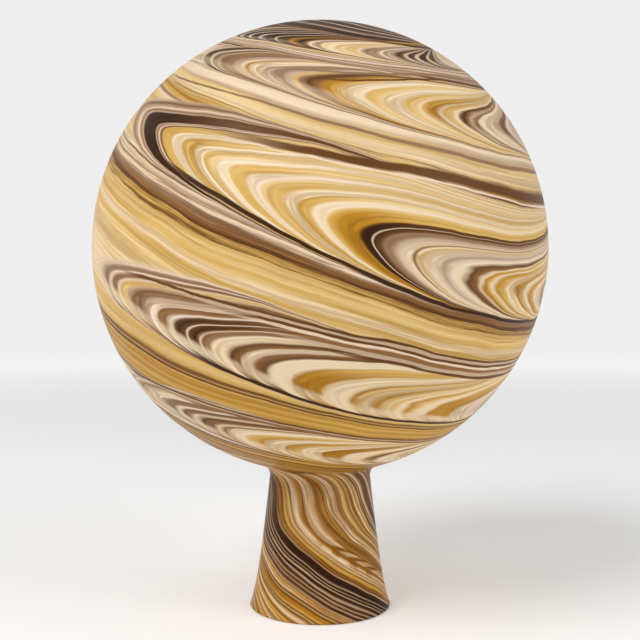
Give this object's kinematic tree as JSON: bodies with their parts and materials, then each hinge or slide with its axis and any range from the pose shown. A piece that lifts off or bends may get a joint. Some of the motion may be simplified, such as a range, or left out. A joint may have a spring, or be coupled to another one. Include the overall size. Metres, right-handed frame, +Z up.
{
  "type": "decorative glass ball with a neck",
  "caption": "Mouth-blown marbled glass ball, hollow, standing on its own flared open neck.",
  "frame": {"origin": "middle of the ring that the neck's rim stands on", "axes": "+Z up along the axis of the ball and its neck; -Y is the side with the large swirls"},
  "size_m": [0.2, 0.2, 0.2575],
  "materials": {
    "marbled_glass": "opaque marbled glass, satin"
  },
  "bodies": {
    "root": {"ball_and_neck": "marbled_glass"}
  },
  "joints": []
}
